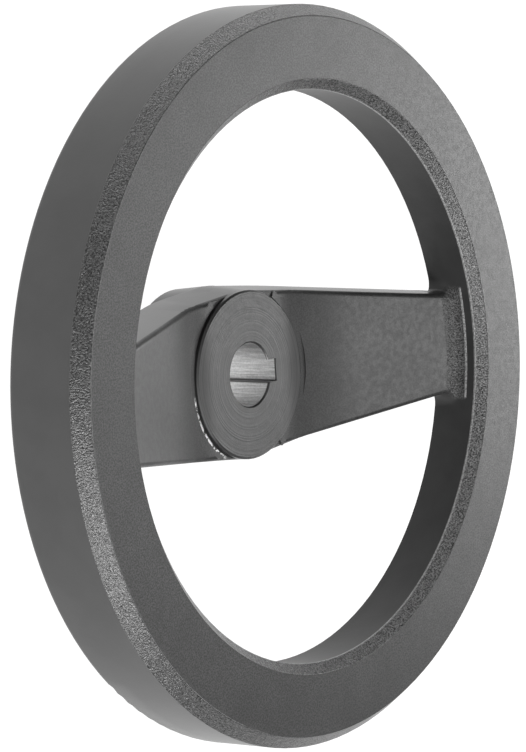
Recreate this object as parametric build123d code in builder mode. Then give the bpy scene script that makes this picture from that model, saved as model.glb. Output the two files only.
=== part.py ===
from build123d import *

# Two-spoke machine handwheel: one aluminium casting with a dished hub and a keyed bore.
#
# The wheel lies on the rear face of its hub.  The origin is the centre of the bore in that
# face, +Z is the axis and points towards the operator's side, and the spokes and the
# keyway lie along X.  All sizes are in millimetres.

import os
from math import hypot, radians, tan

os.makedirs("parts", exist_ok=True)

# ---------------------------------------------------------------- driving dimensions

# whole wheel
wheel_diameter = 160.0  # at the corner of the outer side and the back, before its rounding
overall_height = 40.0  # rear face of the hub to the turned front face of the rim

# rim
rim_depth = 20.0  # front face to the lowest edge of the back
rim_width = 18.45  # outer side to the narrowest place of the opening, on the radius
outer_bevel_width = 2.65
outer_bevel_depth = 3.3
inner_bevel_width = 2.25
inner_bevel_depth = 2.2
inner_wall_depth = 13.4  # front face to the rear edge of the inner wall
outer_side_draft = 1.0  # degrees
inner_wall_draft = 3.6  # degrees
rim_back_outer_radius = 1.5  # where the outer side turns into the back

# hub
hub_diameter = 37.0  # turned front face
hub_length = 20.0
hub_edge_bevel = 0.4
hub_draft = 5.0  # degrees, to the front and to the rear of the widest place
hub_widest_height = 9.0
hub_face_height = 1.2  # turned face above the ring that is turned into the spokes round it
hub_ring_width = 2.0

# bore and keyway
bore_diameter = 14.0
bore_edge_bevel = 0.3
keyway_width = 5.0
keyway_depth = 2.3  # from the bore's wall, as the key's standard gives it

# spokes
spoke_width_at_axis = 36.9  # front of the spokes, carried on to the wheel's axis
spoke_width_at_rim = 22.0  # front of the spokes, at the rim's inner wall
spoke_thickness = 11.5  # measured along the axis
spoke_step_at_hub = 0.9  # hub face above the flat front of the spokes round the hub
spoke_set_back = 6.6  # front of the rim above the front of the spoke, at the wall
spoke_bend_radius = 20.0  # front of the spoke, where it rises from the flat round the hub
spoke_draft = 5.0  # degrees
spoke_front_edge_radius = 1.2
spoke_rear_edge_radius = 0.8
rim_root_radius = 2.5  # where the spokes run into the rim

# ---------------------------------------------------------------- dependent sizes

wheel_radius = wheel_diameter / 2
hub_radius = hub_diameter / 2
bore_radius = bore_diameter / 2

rim_front = overall_height
rim_back = rim_front - rim_depth
outer_bevel_foot = rim_front - outer_bevel_depth
inner_bevel_foot = rim_front - inner_bevel_depth
inner_wall_foot = rim_front - inner_wall_depth

rim_opening_radius = wheel_radius - rim_width
outer_side_lean = (outer_bevel_foot - rim_back) * tan(radians(outer_side_draft))
outer_bevel_foot_radius = wheel_radius - outer_side_lean
inner_wall_lean = (inner_bevel_foot - inner_wall_foot) * tan(radians(inner_wall_draft))
inner_wall_foot_radius = rim_opening_radius + inner_wall_lean

# The spokes' ends are buried in the middle of the rim's section.
spoke_end = wheel_radius - rim_width / 2

hub_ring_height = hub_length - hub_face_height
hub_draft_slope = tan(radians(hub_draft))
hub_widest_radius = hub_radius + (hub_ring_height - hub_widest_height) * hub_draft_slope
hub_rear_radius = hub_widest_radius - hub_widest_height * hub_draft_slope

# The spokes are flat across the hub and rise from its side to the rim.
spoke_front_at_hub = hub_length - spoke_step_at_hub
spoke_front_at_rim = rim_front - spoke_set_back
spoke_slope = (spoke_front_at_rim - spoke_front_at_hub) / (rim_opening_radius - hub_radius)
spoke_front_at_end = spoke_front_at_hub + spoke_slope * (spoke_end - hub_radius)

# The sides lean in towards the front, so the outline on the ground plane is the widest.
draft_slope = tan(radians(spoke_draft))
outline_at_axis = spoke_width_at_axis / 2 + spoke_front_at_hub * draft_slope
outline_at_rim = spoke_width_at_rim / 2 + spoke_front_at_rim * draft_slope
outline_taper = (outline_at_axis - outline_at_rim) / rim_opening_radius
outline_at_end = outline_at_axis - outline_taper * spoke_end

# ---------------------------------------------------------------- both spokes, as one bar


def runs_lengthwise(edge):
    """True for an edge that runs more along the spokes than across them."""
    return abs(edge.tangent_at(0.5).X) > 0.5


with BuildPart() as spokes:
    # Side view: a shallow dish of even thickness, flat at the hub and high at the rim.
    with BuildSketch(Plane.XZ) as side_view:
        with BuildLine():
            Polyline(
                (-spoke_end, spoke_front_at_end - spoke_thickness),
                (-hub_radius, spoke_front_at_hub - spoke_thickness),
                (hub_radius, spoke_front_at_hub - spoke_thickness),
                (spoke_end, spoke_front_at_end - spoke_thickness),
                (spoke_end, spoke_front_at_end),
                (hub_radius, spoke_front_at_hub),
                (-hub_radius, spoke_front_at_hub),
                (-spoke_end, spoke_front_at_end),
                close=True,
            )
        make_face()
        bends = side_view.vertices().sort_by(lambda corner: abs(corner.X))[:4]
        fillet(bends.sort_by(Axis.Y)[2:], spoke_bend_radius)
        rear_bends = side_view.vertices().sort_by(Axis.Y)[:2]
        fillet(rear_bends, spoke_bend_radius + spoke_thickness)
    extrude(amount=outline_at_axis, both=True)
    # Front view: the sides taper from the hub to the rim and lean in with the draft.
    with BuildSketch(Plane.XY) as front_view:
        with BuildLine():
            Polyline(
                (-spoke_end, -outline_at_end),
                (0, -outline_at_axis),
                (spoke_end, -outline_at_end),
                (spoke_end, outline_at_end),
                (0, outline_at_axis),
                (-spoke_end, outline_at_end),
                close=True,
            )
        make_face()
        widest = front_view.vertices().sort_by(lambda corner: abs(corner.X))[:2]
        fillet(widest, outline_at_axis)
    extrude(amount=overall_height, taper=spoke_draft, mode=Mode.INTERSECT)
    front_faces = spokes.faces().filter_by(lambda face: face.normal_at().Z > 0.5)
    fillet(front_faces.edges().filter_by(runs_lengthwise), spoke_front_edge_radius)
    rear_faces = spokes.faces().filter_by(lambda face: face.normal_at().Z < -0.5)
    fillet(rear_faces.edges().filter_by(runs_lengthwise), spoke_rear_edge_radius)
    # The tool that turns the hub's face also cuts a ring into the front of the spokes.
    with BuildSketch(Plane.XY.offset(hub_ring_height)):
        Circle(hub_radius + hub_ring_width)
    extrude(amount=overall_height, mode=Mode.SUBTRACT)

# ---------------------------------------------------------------- the whole casting


def on_inner_wall(edge):
    """True for an edge on the rim's inner wall, above the wall's rear edge."""
    middle = edge.center()
    at_rim = hypot(middle.X, middle.Y) > (hub_radius + rim_opening_radius) / 2
    return at_rim and middle.Z > inner_wall_foot


with BuildPart() as handwheel:
    # Rim: turned flat front between two bevels, drafted sides, back that slopes outward.
    with BuildSketch(Plane.YZ) as rim_section:
        with BuildLine():
            Polyline(
                (rim_opening_radius + inner_bevel_width, rim_front),
                (outer_bevel_foot_radius - outer_bevel_width, rim_front),
                (outer_bevel_foot_radius, outer_bevel_foot),
                (wheel_radius, rim_back),
                (inner_wall_foot_radius, inner_wall_foot),
                (rim_opening_radius, inner_bevel_foot),
                close=True,
            )
        make_face()
        back_corner = rim_section.vertices().sort_by_distance((wheel_radius, rim_back))[0]
        fillet(back_corner, rim_back_outer_radius)
    revolve(axis=Axis.Z)
    # Hub: widest inside the spokes' thickness, with a turned face that stands proud.
    with BuildSketch(Plane.YZ) as hub_section:
        with BuildLine():
            Polyline(
                (0, 0),
                (hub_rear_radius - hub_edge_bevel, 0),
                (hub_rear_radius, hub_edge_bevel),
                (hub_widest_radius, hub_widest_height),
                (hub_radius, hub_ring_height),
                (hub_radius, hub_length - hub_edge_bevel),
                (hub_radius - hub_edge_bevel, hub_length),
                (0, hub_length),
                close=True,
            )
        make_face()
    revolve(axis=Axis.Z)
    # Spokes
    add(spokes.part)
    # Behind the inner wall, each spoke runs out on the rim's sloping back with no rounding.
    wall_seams = handwheel.edges(Select.NEW).filter_by(on_inner_wall)
    fillet(wall_seams, rim_root_radius)
    # Bore, with a small bevel at each end
    with BuildSketch(Plane.YZ) as bore_section:
        with BuildLine():
            Polyline(
                (0, 0),
                (bore_radius + bore_edge_bevel, 0),
                (bore_radius, bore_edge_bevel),
                (bore_radius, hub_length - bore_edge_bevel),
                (bore_radius + bore_edge_bevel, hub_length),
                (0, hub_length),
                close=True,
            )
        make_face()
    revolve(axis=Axis.Z, mode=Mode.SUBTRACT)
    # Keyway, on the side of one spoke
    with BuildSketch(Plane.XY) as keyway:
        Rectangle(bore_radius + keyway_depth, keyway_width, align=(Align.MIN, Align.CENTER))
    extrude(amount=hub_length, mode=Mode.SUBTRACT)

handwheel.part.label = "handwheel"
export_step(handwheel.part, "parts/handwheel.step")
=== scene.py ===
import math

import bmesh
import bpy
from mathutils import Matrix, Vector


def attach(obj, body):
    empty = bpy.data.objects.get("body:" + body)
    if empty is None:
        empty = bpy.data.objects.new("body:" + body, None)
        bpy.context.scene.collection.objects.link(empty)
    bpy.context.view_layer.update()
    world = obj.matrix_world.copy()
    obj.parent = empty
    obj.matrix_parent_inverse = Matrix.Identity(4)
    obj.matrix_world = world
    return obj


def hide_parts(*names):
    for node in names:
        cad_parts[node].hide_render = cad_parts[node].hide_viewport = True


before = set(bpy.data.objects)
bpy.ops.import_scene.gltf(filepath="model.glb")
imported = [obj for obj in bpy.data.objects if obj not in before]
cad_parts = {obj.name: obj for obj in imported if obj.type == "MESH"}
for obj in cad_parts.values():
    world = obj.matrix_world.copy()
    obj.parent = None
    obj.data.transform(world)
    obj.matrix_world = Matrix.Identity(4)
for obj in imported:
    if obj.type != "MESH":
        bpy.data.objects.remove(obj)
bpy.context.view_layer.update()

MM = 0.001
WHITE = (1, 1, 1, 1)

# ---------------------------------------------------------------- camera

IMAGE_HEIGHT = 752  # pixels
FOCAL_LENGTH = 3200  # pixels
SENSOR = 36  # millimetres, along the image's height
CLIP_START = 0.01  # metres
CAMERA_PLACE = Vector((-547.18, 81.56, 445.21)) * MM
CAMERA_RIGHT = Vector((0.60408, -0.05789, 0.79482))
CAMERA_UP = Vector((0.12850, 0.99138, -0.02545))


def add_camera():
    """The camera looks down on the lying wheel, rolled so that the wheel's Y is up."""
    data = bpy.data.cameras.new("camera")
    data.lens = FOCAL_LENGTH * SENSOR / IMAGE_HEIGHT
    data.sensor_width = SENSOR
    data.clip_start = CLIP_START
    camera = bpy.data.objects.new("camera", data)
    right = CAMERA_RIGHT.normalized()
    back = right.cross(CAMERA_UP).normalized()
    up = back.cross(right)
    turn = Matrix((right, up, back)).transposed().to_4x4()
    camera.matrix_world = Matrix.Translation(CAMERA_PLACE) @ turn
    bpy.context.collection.objects.link(camera)
    bpy.context.scene.camera = camera


# ---------------------------------------------------------------- light

LAMP_DISTANCE = 1.2  # metres from the wheel
ROOM_LIGHT = 0.02  # strength of the white surroundings


def add_lamp(name, azimuth, elevation, size, power):
    """A soft lamp that shines at the wheel from LAMP_DISTANCE; angles are in degrees."""
    data = bpy.data.lights.new(name, "AREA")
    data.shape = "RECTANGLE"
    data.size, data.size_y = size
    data.energy = power
    lamp = bpy.data.objects.new(name, data)
    turn = math.radians(azimuth)
    rise = math.radians(elevation)
    level = math.cos(rise)
    along = Vector((math.cos(turn) * level, math.sin(turn) * level, math.sin(rise)))
    lamp.location = along * LAMP_DISTANCE
    lamp.rotation_euler = along.to_track_quat("Z", "Y").to_euler()
    lamp.visible_camera = False
    bpy.context.collection.objects.link(lamp)


def add_lamps():
    """Boxes and strips overhead, opposite the camera, beside the camera and towards +Y."""
    add_lamp("overhead_box", 332, 78, (0.5, 0.5), 5.5)
    add_lamp("far_box", -1, 27, (0.45, 0.4), 4.4)
    add_lamp("far_strip", 2, 10, (0.45, 0.3), 2.0)
    add_lamp("low_near_strip", 210, 10, (0.45, 0.3), 4.6)
    add_lamp("near_side_box", 232, 36, (0.42, 0.38), 12.0)
    add_lamp("near_high_box", 206, 50, (0.3, 0.3), 3.0)
    add_lamp("high_side_strip", 54, 7, (0.45, 0.25), 2.8)
    add_lamp("high_back_strip", 90, 10, (0.45, 0.3), 2.6)
    add_lamp("high_near_box", 112, 22, (0.35, 0.3), 2.4)


def add_world():
    world = bpy.data.worlds.new("studio")
    world.use_nodes = True
    background = world.node_tree.nodes["Background"]
    background.inputs["Color"].default_value = WHITE
    background.inputs["Strength"].default_value = ROOM_LIGHT
    bpy.context.scene.world = world


# ---------------------------------------------------------------- node graphs

USUAL_NOISE = (0.3, 0.7)  # the values that a noise mostly takes


class Graph:
    """A new material with short forms for wiring its nodes."""

    def __init__(self, name):
        self.material = bpy.data.materials.new(name)
        self.material.use_nodes = True
        self.nodes = self.material.node_tree.nodes
        self.links = self.material.node_tree.links
        self.shader = self.nodes["Principled BSDF"]

    def feed(self, socket, value):
        """Links an output to the socket, or sets a constant on it."""
        if isinstance(value, bpy.types.NodeSocket):
            self.links.new(value, socket)
        else:
            socket.default_value = value

    def feed_shader(self, name, value):
        self.feed(self.shader.inputs[name], value)

    def coordinate(self, name):
        return self.nodes.new("ShaderNodeTexCoord").outputs[name]

    def scaled(self, vector, factor):
        node = self.nodes.new("ShaderNodeVectorMath")
        node.operation = "SCALE"
        self.feed(node.inputs[0], vector)
        self.feed(node.inputs["Scale"], factor)
        return node.outputs[0]

    def stretched(self, vector, factors):
        node = self.nodes.new("ShaderNodeVectorMath")
        node.operation = "MULTIPLY"
        self.feed(node.inputs[0], vector)
        self.feed(node.inputs[1], factors)
        return node.outputs[0]

    def parts(self, vector):
        node = self.nodes.new("ShaderNodeSeparateXYZ")
        self.feed(node.inputs[0], vector)
        return node.outputs

    def point(self, x, y, z):
        node = self.nodes.new("ShaderNodeCombineXYZ")
        self.feed(node.inputs[0], x)
        self.feed(node.inputs[1], y)
        self.feed(node.inputs[2], z)
        return node.outputs[0]

    def math(self, operation, a, b=0.0):
        node = self.nodes.new("ShaderNodeMath")
        node.operation = operation
        self.feed(node.inputs[0], a)
        self.feed(node.inputs[1], b)
        return node.outputs[0]

    def plus(self, a, b):
        return self.math("ADD", a, b)

    def times(self, a, b):
        return self.math("MULTIPLY", a, b)

    def absolute(self, value):
        return self.math("ABSOLUTE", value)

    def ramp(self, value, low, high, at_low=0.0, at_high=1.0):
        """Runs smoothly from at_low to at_high while value runs from low to high."""
        node = self.nodes.new("ShaderNodeMapRange")
        node.interpolation_type = "SMOOTHSTEP"
        self.feed(node.inputs["Value"], value)
        self.feed(node.inputs["From Min"], low)
        self.feed(node.inputs["From Max"], high)
        self.feed(node.inputs["To Min"], at_low)
        self.feed(node.inputs["To Max"], at_high)
        return node.outputs[0]

    def spread(self, noise, ends):
        """Runs from one end to the other over the values that a noise mostly takes."""
        return self.ramp(noise, *USUAL_NOISE, *ends)

    def both(self, *masks):
        result = masks[0]
        for mask in masks[1:]:
            result = self.math("MULTIPLY", result, mask)
        return result

    def either(self, *masks):
        result = masks[0]
        for mask in masks[1:]:
            result = self.math("MAXIMUM", result, mask)
        return result

    def mix(self, share, a, b):
        """Is a where share is 0 and b where it is 1."""
        node = self.nodes.new("ShaderNodeMix")
        self.feed(node.inputs[0], share)
        self.feed(node.inputs[2], a)
        self.feed(node.inputs[3], b)
        return node.outputs[0]

    def noise(self, place, grain, detail, roughness):
        """Noise with lumps about one grain across, in millimetres."""
        node = self.nodes.new("ShaderNodeTexNoise")
        self.feed(node.inputs["Vector"], place)
        self.feed(node.inputs["Scale"], 1 / grain)
        self.feed(node.inputs["Detail"], detail)
        self.feed(node.inputs["Roughness"], roughness)
        return node.outputs["Fac"]

    def bump(self, height):
        """Roughens the surface by a height in millimetres."""
        node = self.nodes.new("ShaderNodeBump")
        self.feed(node.inputs["Height"], self.times(height, MM))
        self.feed(node.inputs["Distance"], 1.0)
        self.feed(node.inputs["Strength"], 1.0)
        self.feed_shader("Normal", node.outputs[0])


# ---------------------------------------------------------------- zones of the wheel

# A zone lies within limits on the measures of a place, which wheel_measures gives.  Two limits
# are where its mask is 0 and where it is 1.  Four are where it starts, is 1, fades and ends.
ZONES = {
    "bore_wall": {"r": (7.15, 7.1)},
    "keyway": {"across": (2.56, 2.52), "x": (0, 0.1), "r": (9.75, 9.7)},
    # a line of painted shade along the lower corner of the keyway
    "keyway_corner_shade": {"from_corner": (0.25, 0.12), "x": (4, 5)},
    "below_hub_face": {"z": (19.6, 19.5)},
    "hub_face": {"r": (18.6, 18.4), "z": (19.5, 19.7)},
    # a stretch of the ledge round the hub face where the coat is chipped
    "chipped_arc": {
        "turn": (-3.05, -2.9, -2.15, -2.0),
        "r": (18.8, 18.95, 19.4, 19.7),
        "z": (18.5, 18.7),
    },
    # where the spokes start to rise from the hub
    "bend": {"along": (12, 17, 18, 36), "r": (42, 38)},
    # where the spokes run into the rim, and the painted highlight on the edge at the end of that
    # root
    "root": {
        "r": (57.0, 59.5, 62.5, 63.0),
        "across": (13.5, 12.0),
        "z": (31.5, 32.5, 35.2, 35.5),
    },
    "root_end_highlight": {
        "z": (34.8, 35.0, 35.4, 35.6),
        "r": (60.6, 60.9, 62.1, 62.4),
        "across": (13.0, 12.5),
    },
    "inner_wall": {"r": (60.5, 61.0, 62.8, 63.0), "z": (37.8, 37.5)},
    # a painted highlight on the edge between the inner wall and the inner bevel
    "bevel_foot_highlight": {"z": (37.4, 37.6, 37.85, 38.0), "r": (62.2, 61.9)},
    "inner_bevel": {"z": (37.6, 37.9), "r": (63.9, 63.6)},
    "outer_bevel": {"z": (36.5, 36.8), "r": (76.9, 77.2)},
    "rim_face": {"z": (39.8, 39.95)},
    "upright": {"level": (0.35, 0.2)},
}
KEYWAY_CORNER_Y = -2.5


def wheel_measures(graph, place):
    """Measures of a place in millimetres, and its turn round the axis in radians.

    Its level is 1 on a face that looks straight up or down, and 0 on an upright one.
    """
    x, y, z = graph.parts(place)
    return {
        "x": x,
        "z": z,
        "r": graph.math("SQRT", graph.plus(graph.times(x, x), graph.times(y, y))),
        "along": graph.absolute(x),
        "across": graph.absolute(y),
        "from_corner": graph.absolute(graph.plus(y, -KEYWAY_CORNER_Y)),
        "turn": graph.math("ARCTAN2", y, x),
        "level": graph.absolute(graph.parts(graph.coordinate("Normal"))[2]),
    }


def zone_mask(graph, measures, limits):
    """A mask that is 1 within the limits of a zone."""
    ramps = []
    for name, ends in limits.items():
        ramps.append(graph.ramp(measures[name], ends[0], ends[1]))
        if len(ends) == 4:
            ramps.append(graph.ramp(measures[name], ends[3], ends[2]))
    return graph.both(*ramps)


def wheel_zones(graph, measures):
    """The masks of all zones, of the grainy ones together, and of the bore with its keyway."""
    zones = {name: zone_mask(graph, measures, limits) for name, limits in ZONES.items()}
    zones["grainy"] = graph.either(zones["outer_bevel"], zones["inner_bevel"], zones["root"])
    bore = graph.either(zones["bore_wall"], zones["keyway"])
    zones["bore"] = graph.both(bore, zones["below_hub_face"])
    return zones


# ---------------------------------------------------------------- the wheel's material

# Noises over the place: grain in millimetres, detail, roughness
PATTERNS = {
    "pebbles": (0.36, 1.0, 0.6),
    "swells": (1.3, 1.0, 0.5),
    "patches": (9.0, 3.0, 0.6),
    "flecks": (0.45, 2.0, 0.6),
    "flakes": (0.9, 2.0, 0.6),
}
RINGS = (0.5, 2.0, 0.7)  # round the axis, left by turning
STREAKS = (0.35, 2.0, 0.6)  # along the axis, left in the bore
STREAK_STRETCH = (1.0, 1.0, 0.05)
CHIPPED_FLAKES = (0.46, 0.52)  # values of the flakes from the whole coat to bare metal

# Heights in millimetres; a pair is for the plain coat and for the grainy zones
GRAIN_HEIGHT = (0.011, 0.2)
SWELL_SHARE = 0.6
HUB_RING_HEIGHT = 0.045
RIM_RING_HEIGHT = 0.004
STREAK_HEIGHT = 0.025

# Greys, from 0 for black to 1 for white; a pair is for the low and the high end of a pattern
PLAIN_COAT = (0.021, 0.027)
HUB_RINGS = (-0.011, 0.011)
GRAINY_COAT = (0.008, 0.07)
GRAINY_INNER_BEVEL = (0.01, 0.13)
# a flecked painted highlight on the foot of the inner bevel and at the end of the spokes' roots
PAINTED_EDGE_HIGHLIGHT = (0.12, 0.26)
HIGHLIGHT_FLECKS = (0.35, 0.6)
METAL = 0.84
# painted shade in the lower corner of the keyway
PAINTED_CORNER_SHADE = 0.12

# Factors on a grey
SPECKLE = (0.65, 1.35)
RIM_FACE_SPECKLE = (0.25, 1.85)
METAL_STREAKS = (0.66, 1.0)
METAL_FLECKS = (0.88, 1.06)

# Roughness
COAT_ROUGHNESS = (0.38, 0.44)
BEND_ROUGHNESS = 0.62
GLOSSY_ROUGHNESS = 0.32
INNER_WALL_ROUGHNESS = 0.42
METAL_ROUGHNESS = 0.42

# Strength of the reflection
COAT_SHEEN = 0.5
HUB_FACE_SHEEN = 0.62
UPRIGHT_SHEEN = 0.68
INNER_WALL_SHEEN = 0.25


def wheel_patterns(graph, place, r):
    """The noises that the coat and the metal are made of."""
    patterns = {name: graph.noise(place, *values) for name, values in PATTERNS.items()}
    patterns["rings"] = graph.noise(graph.point(r, 0.0, 0.0), *RINGS)
    patterns["streaks"] = graph.noise(graph.stretched(place, STREAK_STRETCH), *STREAKS)
    return patterns


def wheel_relief(graph, zones, patterns, bare):
    """Height in millimetres: the coat's grain, the turned rings and the bore's streaks."""
    grain = graph.plus(patterns["pebbles"], graph.times(patterns["swells"], SWELL_SHARE))
    grain_height = graph.ramp(zones["grainy"], 0, 1, *GRAIN_HEIGHT)
    hub_rings = graph.times(zones["hub_face"], HUB_RING_HEIGHT)
    rim_rings = graph.times(zones["rim_face"], RIM_RING_HEIGHT)
    ring_height = graph.either(hub_rings, rim_rings)
    rings = graph.times(patterns["rings"], ring_height)
    coat = graph.plus(graph.times(grain, grain_height), rings)
    return graph.mix(bare, coat, graph.times(patterns["streaks"], STREAK_HEIGHT))


def coat_grey(graph, zones, patterns):
    """Near black, with speckles and rings, lighter in the grainy zones, and with painted
    highlights on two edges.
    """
    pebbles = patterns["pebbles"]
    speckle = graph.mix(
        zones["rim_face"], graph.spread(pebbles, SPECKLE), graph.spread(pebbles, RIM_FACE_SPECKLE)
    )
    unspeckled = graph.either(zones["upright"], zones["hub_face"])
    speckle = graph.mix(unspeckled, speckle, 1.0)
    plain = graph.times(graph.spread(patterns["patches"], PLAIN_COAT), speckle)
    rings = graph.times(graph.spread(patterns["rings"], HUB_RINGS), zones["hub_face"])
    grainy = graph.mix(
        zones["inner_bevel"],
        graph.spread(pebbles, GRAINY_COAT),
        graph.spread(pebbles, GRAINY_INNER_BEVEL),
    )
    grey = graph.mix(zones["grainy"], graph.plus(plain, rings), grainy)
    # painted highlights on the foot of the inner bevel and at the end of the spokes' roots
    painted_highlight = graph.ramp(patterns["flecks"], *HIGHLIGHT_FLECKS, *PAINTED_EDGE_HIGHLIGHT)
    return graph.mix(graph.either(zones["bevel_foot_highlight"], zones["root_end_highlight"]), grey, painted_highlight)


def metal_grey(graph, zones, patterns):
    """Streaked and flecked, with painted shade in the lower corner of the keyway."""
    grey = graph.times(graph.spread(patterns["streaks"], METAL_STREAKS), METAL)
    grey = graph.times(grey, graph.spread(patterns["flecks"], METAL_FLECKS))
    return graph.mix(zones["keyway_corner_shade"], grey, PAINTED_CORNER_SHADE)


def wheel_roughness(graph, zones, patterns, bare):
    coat = graph.spread(patterns["swells"], COAT_ROUGHNESS)
    coat = graph.mix(zones["bend"], coat, BEND_ROUGHNESS)
    coat = graph.mix(graph.either(zones["grainy"], zones["upright"]), coat, GLOSSY_ROUGHNESS)
    coat = graph.mix(zones["inner_wall"], coat, INNER_WALL_ROUGHNESS)
    return graph.mix(bare, coat, METAL_ROUGHNESS)


def wheel_sheen(graph, zones):
    sheen = graph.mix(zones["hub_face"], COAT_SHEEN, HUB_FACE_SHEEN)
    sheen = graph.mix(graph.either(zones["upright"], zones["outer_bevel"]), sheen, UPRIGHT_SHEEN)
    return graph.mix(zones["inner_wall"], sheen, INNER_WALL_SHEEN)


def coat_material():
    """Dark powder coat with bare metal in the bore, the keyway and the chips at the hub."""
    graph = Graph("coated_casting")
    place = graph.scaled(graph.coordinate("Object"), 1 / MM)
    measures = wheel_measures(graph, place)
    zones = wheel_zones(graph, measures)
    patterns = wheel_patterns(graph, place, measures["r"])
    chips = graph.both(zones["chipped_arc"], graph.ramp(patterns["flakes"], *CHIPPED_FLAKES))
    bare = graph.either(zones["bore"], chips)
    grey = graph.mix(bare, coat_grey(graph, zones, patterns), metal_grey(graph, zones, patterns))
    graph.bump(wheel_relief(graph, zones, patterns, bare))
    graph.feed_shader("Base Color", graph.point(grey, grey, grey))
    graph.feed_shader("Metallic", bare)
    graph.feed_shader("Roughness", wheel_roughness(graph, zones, patterns, bare))
    graph.feed_shader("Specular IOR Level", wheel_sheen(graph, zones))
    return graph.material


# ---------------------------------------------------------------- floor

FLOOR_SIZE = 6.0  # metres
FLOOR_GREY = (0.1, 0.1, 0.1, 1)


def floor_material():
    """A plate that glows white, so that the wheel casts hardly a shadow on it."""
    graph = Graph("lit_white_floor")
    graph.feed_shader("Base Color", FLOOR_GREY)
    graph.feed_shader("Roughness", 1.0)
    graph.feed_shader("Specular IOR Level", 0.0)
    graph.feed_shader("Emission Color", WHITE)
    graph.feed_shader("Emission Strength", 1.0)
    return graph.material


def add_floor():
    bpy.ops.mesh.primitive_plane_add(size=FLOOR_SIZE, location=(0, 0, 0))
    floor = bpy.context.object
    floor.name = "floor"
    floor.data.materials.append(floor_material())


# ---------------------------------------------------------------- wheel

JOIN_DISTANCE = 0.001 * MM
EDGE_ROUNDING = 0.3 * MM
EDGE_SEGMENTS = 3
SHARP_ANGLE = 18  # degrees

# The turned ledge round the hub face; sizes in millimetres, half angle in degrees
LEDGE_INNER = 18.95
LEDGE_OUTER = 20.6
LEDGE_BOTTOM = 18.0
LEDGE_TOP = 19.5
LEDGE_HALF_ANGLE = 57
LEDGE_STEPS = 48

# Front of the spokes, in millimetres: its height by the hub, and its bend
SPOKE_FLAT = 19.1
BEND_START = 15.26
BEND_RADIUS = 20.0
SPOKE_TURNS = (0, 180)  # degrees round the axis


def ledge_height(x):
    """The ledge follows the front of the spokes, and is turned flat where they rise."""
    rise = max(abs(x) - BEND_START, 0) ** 2 / (2 * BEND_RADIUS)
    return min(SPOKE_FLAT + rise, LEDGE_TOP)


def ledge_corners(mesh, turn):
    """Adds the four corners of the ledge's section at a turn round the axis."""
    along = Vector((math.cos(turn), math.sin(turn), 0))
    places = [
        (LEDGE_INNER, LEDGE_BOTTOM),
        (LEDGE_OUTER, LEDGE_BOTTOM),
        (LEDGE_OUTER, ledge_height(along.x * LEDGE_OUTER)),
        (LEDGE_INNER, ledge_height(along.x * LEDGE_INNER)),
    ]
    return [mesh.verts.new((along * r + Vector((0, 0, z))) * MM) for r, z in places]


def add_ledge(mesh):
    """Fills the turned ring on each spoke up to the ledge, but for a narrow groove at the hub."""
    for middle in SPOKE_TURNS:
        rows = []
        for step in range(LEDGE_STEPS + 1):
            offset = LEDGE_HALF_ANGLE * (2 * step / LEDGE_STEPS - 1)
            rows.append(ledge_corners(mesh, math.radians(middle + offset)))
        for one, two in zip(rows, rows[1:]):
            for k in range(len(one)):
                after = (k + 1) % len(one)
                mesh.faces.new((one[k], one[after], two[after], two[k]))
        mesh.faces.new(rows[0][::-1])
        mesh.faces.new(rows[-1])


def wheel_mesh():
    """A copy of the CAD wheel's mesh with its vertices joined and the ledge filled in."""
    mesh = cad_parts["handwheel"].data.copy()
    joined = bmesh.new()
    joined.from_mesh(mesh)
    bmesh.ops.remove_doubles(joined, verts=joined.verts, dist=JOIN_DISTANCE)
    add_ledge(joined)
    bmesh.ops.recalc_face_normals(joined, faces=joined.faces)
    joined.to_mesh(mesh)
    joined.free()
    # The stored normals belong to the mesh as it was before its vertices were joined.
    if "custom_normal" in mesh.attributes:
        mesh.attributes.remove(mesh.attributes["custom_normal"])
    mesh.shade_smooth()
    mesh.materials.clear()
    mesh.materials.append(coat_material())
    return mesh


def add_wheel():
    """The wheel with its sharp edges rounded."""
    wheel = bpy.data.objects.new("wheel", wheel_mesh())
    bpy.context.collection.objects.link(wheel)
    rounding = wheel.modifiers.new("rounding", "BEVEL")
    rounding.width = EDGE_ROUNDING
    rounding.segments = EDGE_SEGMENTS
    rounding.limit_method = "ANGLE"
    rounding.angle_limit = math.radians(SHARP_ANGLE)
    rounding.harden_normals = True
    rounding.use_clamp_overlap = True
    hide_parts("handwheel")
    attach(wheel, "root")


add_wheel()
add_camera()
add_floor()
add_lamps()
add_world()

bpy.context.scene.view_settings.view_transform = "Standard"
